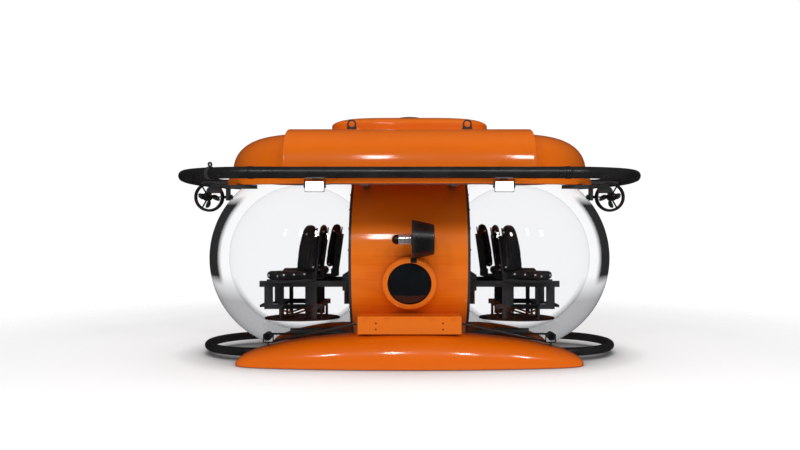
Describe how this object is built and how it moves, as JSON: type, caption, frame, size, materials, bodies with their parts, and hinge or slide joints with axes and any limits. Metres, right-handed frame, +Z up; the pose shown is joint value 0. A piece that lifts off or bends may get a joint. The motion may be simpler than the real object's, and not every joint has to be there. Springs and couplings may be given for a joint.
{
  "type": "passenger submersible",
  "caption": "Passenger submersible with a clear acrylic dome cabin on each side of a horizontal hull, roof fairing, bumper loop, pontoons, thrusters and a top hatch.",
  "frame": {"origin": "on the ground under the middle of the craft", "axes": "+Z up, the bow faces -Y, +X is the right side seen from in front of the bow"},
  "size_m": [4.79, 3.21, 2.569],
  "materials": {
    "orange_paint": "gloss",
    "orange_gelcoat": "gloss",
    "acrylic": "clear",
    "viewport_acrylic": "dark",
    "seal_rubber": "matte",
    "clamp_black": "satin",
    "bolt_steel": "satin",
    "trunk_steel": "satin",
    "frame_grey": "satin",
    "bumper_rubber": "satin",
    "bracket_black": "satin",
    "weight_iron": "matte",
    "pod_aluminium": "satin",
    "bottle_paint": "gloss",
    "light_housing": "satin",
    "light_lens": "frosted",
    "lamp_black": "anodised",
    "cable_black": "matte",
    "duct_black": "satin",
    "propeller": "satin",
    "seat_frame": "satin",
    "upholstery": "semi-matte",
    "floor_plate": "matte",
    "console_plastic": "matte",
    "oxygen_white": "gloss"
  },
  "bodies": {
    "hull": {"hull_shell": "orange_paint", "dome_left": "acrylic", "dome_right": "acrylic", "window_seals": "seal_rubber", "dome_clamps": "clamp_black", "clamp_bolts": "bolt_steel", "viewport_glass": "viewport_acrylic", "viewport_ring": "orange_paint", "hull_bolts": "orange_paint", "hatch_trunk": "trunk_steel", "hatch_seal": "seal_rubber", "hatch_fairing": "orange_gelcoat", "hatch_hinge_pin": "bolt_steel", "roof_center": "orange_gelcoat", "roof_shoulder_left": "orange_gelcoat", "roof_shoulder_right": "orange_gelcoat", "deck_rim": "orange_gelcoat", "deck_frame": "frame_grey", "bumper_upper": "bumper_rubber", "bumper_brackets": "bracket_black", "lower_hoops": "bumper_rubber", "bow_pontoon": "orange_gelcoat", "stern_pontoon": "orange_gelcoat", "hull_saddles": "orange_paint", "skid_frame": "frame_grey", "skid_pads": "seal_rubber", "battery_pods": "pod_aluminium", "air_bottles": "bottle_paint", "floodlight_brackets": "bracket_black", "lamp_brackets": "frame_grey", "lamp_cables": "cable_black", "thruster_mounts": "frame_grey", "thruster_bow": "duct_black", "thruster_stern": "duct_black", "seat_frames": "seat_frame", "seat_pans": "upholstery", "seat_backs": "upholstery", "cabin_floors": "floor_plate", "console": "console_plastic", "life_support": "oxygen_white", "lifting_eyes": "bracket_black"},
    "hatch_lid": {"hatch_lid": "orange_paint"},
    "hatch_handwheel": {"hatch_handwheel": "bracket_black"},
    "drop_weight": {"drop_weight": "weight_iron"},
    "floodlight_left": {"floodlight_left": "light_housing", "floodlight_lens_left": "light_lens"},
    "floodlight_right": {"floodlight_right": "light_housing", "floodlight_lens_right": "light_lens"},
    "side_lamp_left": {"side_lamp_left": "lamp_black"},
    "side_lamp_right": {"side_lamp_right": "lamp_black"},
    "thruster_left": {"thruster_left": "duct_black"},
    "thruster_right": {"thruster_right": "duct_black"},
    "propeller_left": {"propeller_left": "propeller"},
    "propeller_right": {"propeller_right": "propeller"},
    "propeller_bow": {"propeller_bow": "propeller"},
    "propeller_stern": {"propeller_stern": "propeller"},
    "pilot_seat": {"pilot_seat": "seat_frame", "pilot_cushions": "upholstery"},
    "joystick_gimbal": {"joystick_gimbal": "bolt_steel"},
    "joystick": {"joystick": "bracket_black"}
  },
  "joints": [
    {"name": "hatch_hinge", "type": "hinge", "parent": "hull", "child": "hatch_lid", "pos_m": [0, 0.4, 2.512], "axis": [-1, 0, 0], "range_deg": [0, 95]},
    {"name": "handwheel_spin", "type": "hinge", "parent": "hatch_lid", "child": "hatch_handwheel", "pos_m": [0, 0, 2.5], "axis": [0, 0, 1], "range_deg": [0, 270]},
    {"name": "weight_release", "type": "slide", "parent": "hull", "child": "drop_weight", "axis": [0, 0, -1], "range_m": [0, 0.25]},
    {"name": "floodlight_left_tilt", "type": "hinge", "parent": "hull", "child": "floodlight_left", "pos_m": [-0.872, -1.494, 1.754], "axis": [1, 0, 0], "range_deg": [-25, 25]},
    {"name": "floodlight_right_tilt", "type": "hinge", "parent": "hull", "child": "floodlight_right", "pos_m": [0.872, -1.494, 1.754], "axis": [1, 0, 0], "range_deg": [-25, 25]},
    {"name": "side_lamp_left_tilt", "type": "hinge", "parent": "hull", "child": "side_lamp_left", "pos_m": [-1.406, -0.88, 0.292], "axis": [1, 0, 0], "range_deg": [-20, 20]},
    {"name": "side_lamp_right_tilt", "type": "hinge", "parent": "hull", "child": "side_lamp_right", "pos_m": [1.406, -0.88, 0.292], "axis": [1, 0, 0], "range_deg": [-20, 20]},
    {"name": "thruster_left_tilt", "type": "hinge", "parent": "hull", "child": "thruster_left", "pos_m": [-1.965, -1, 1.67], "axis": [1, 0, 0], "range_deg": [-90, 90]},
    {"name": "thruster_right_tilt", "type": "hinge", "parent": "hull", "child": "thruster_right", "pos_m": [1.965, -1, 1.67], "axis": [1, 0, 0], "range_deg": [-90, 90]},
    {"name": "propeller_left_spin", "type": "hinge", "parent": "thruster_left", "child": "propeller_left", "pos_m": [-1.965, -1, 1.67], "axis": [0, 1, 0], "continuous": true},
    {"name": "propeller_right_spin", "type": "hinge", "parent": "thruster_right", "child": "propeller_right", "pos_m": [1.965, -1, 1.67], "axis": [0, 1, 0], "continuous": true},
    {"name": "propeller_bow_spin", "type": "hinge", "parent": "hull", "child": "propeller_bow", "pos_m": [0.146, -1.08, 1.255], "axis": [1, 0, 0], "continuous": true},
    {"name": "propeller_stern_spin", "type": "hinge", "parent": "hull", "child": "propeller_stern", "pos_m": [-0.146, 1.08, 1.255], "axis": [1, 0, 0], "continuous": true},
    {"name": "pilot_seat_swivel", "type": "hinge", "parent": "hull", "child": "pilot_seat", "pos_m": [0, 0.2, 0.9], "axis": [0, 0, 1], "range_deg": [-60, 60]},
    {"name": "joystick_pitch", "type": "hinge", "parent": "hull", "child": "joystick_gimbal", "pos_m": [0.36, -0.25, 1.032], "axis": [1, 0, 0], "range_deg": [-15, 15]},
    {"name": "joystick_roll", "type": "hinge", "parent": "joystick_gimbal", "child": "joystick", "pos_m": [0.36, -0.25, 1.032], "axis": [0, 1, 0], "range_deg": [-15, 15]}
  ]
}
